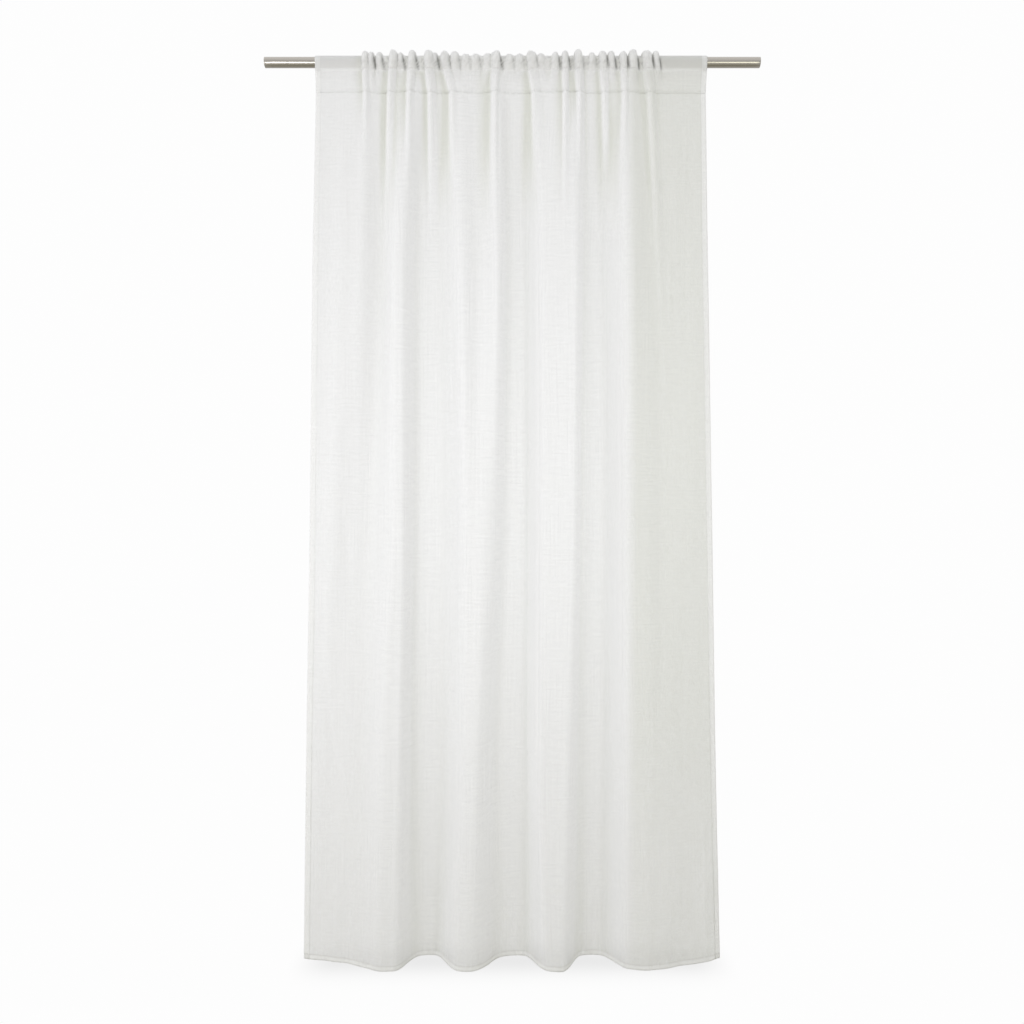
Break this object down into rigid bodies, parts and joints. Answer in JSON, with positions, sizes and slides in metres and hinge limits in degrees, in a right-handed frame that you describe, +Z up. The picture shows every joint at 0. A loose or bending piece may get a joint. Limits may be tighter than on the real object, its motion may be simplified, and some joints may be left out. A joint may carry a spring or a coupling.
{
  "type": "sheer voile curtain on a curtain rod",
  "caption": "Sheer white voile panel with a sewn rod pocket, gathered on a plain brushed steel rod and hanging in soft, uneven folds.",
  "frame": {"origin": "on the rod's axis, at the middle of the rod's length", "axes": "+Z up, from the hem to the rod; +X along the rod; the curtain's front faces -Y"},
  "size_m": [1.36, 0.0944, 2.5143],
  "materials": {
    "brushed_steel": "satin brushed steel, warm grey, brushed along the tube",
    "voile": "sheer off-white linen-look voile, plain weave with slubs, matt"
  },
  "bodies": {
    "root": {"rod": "brushed_steel", "voile_panel": "voile"}
  },
  "joints": []
}
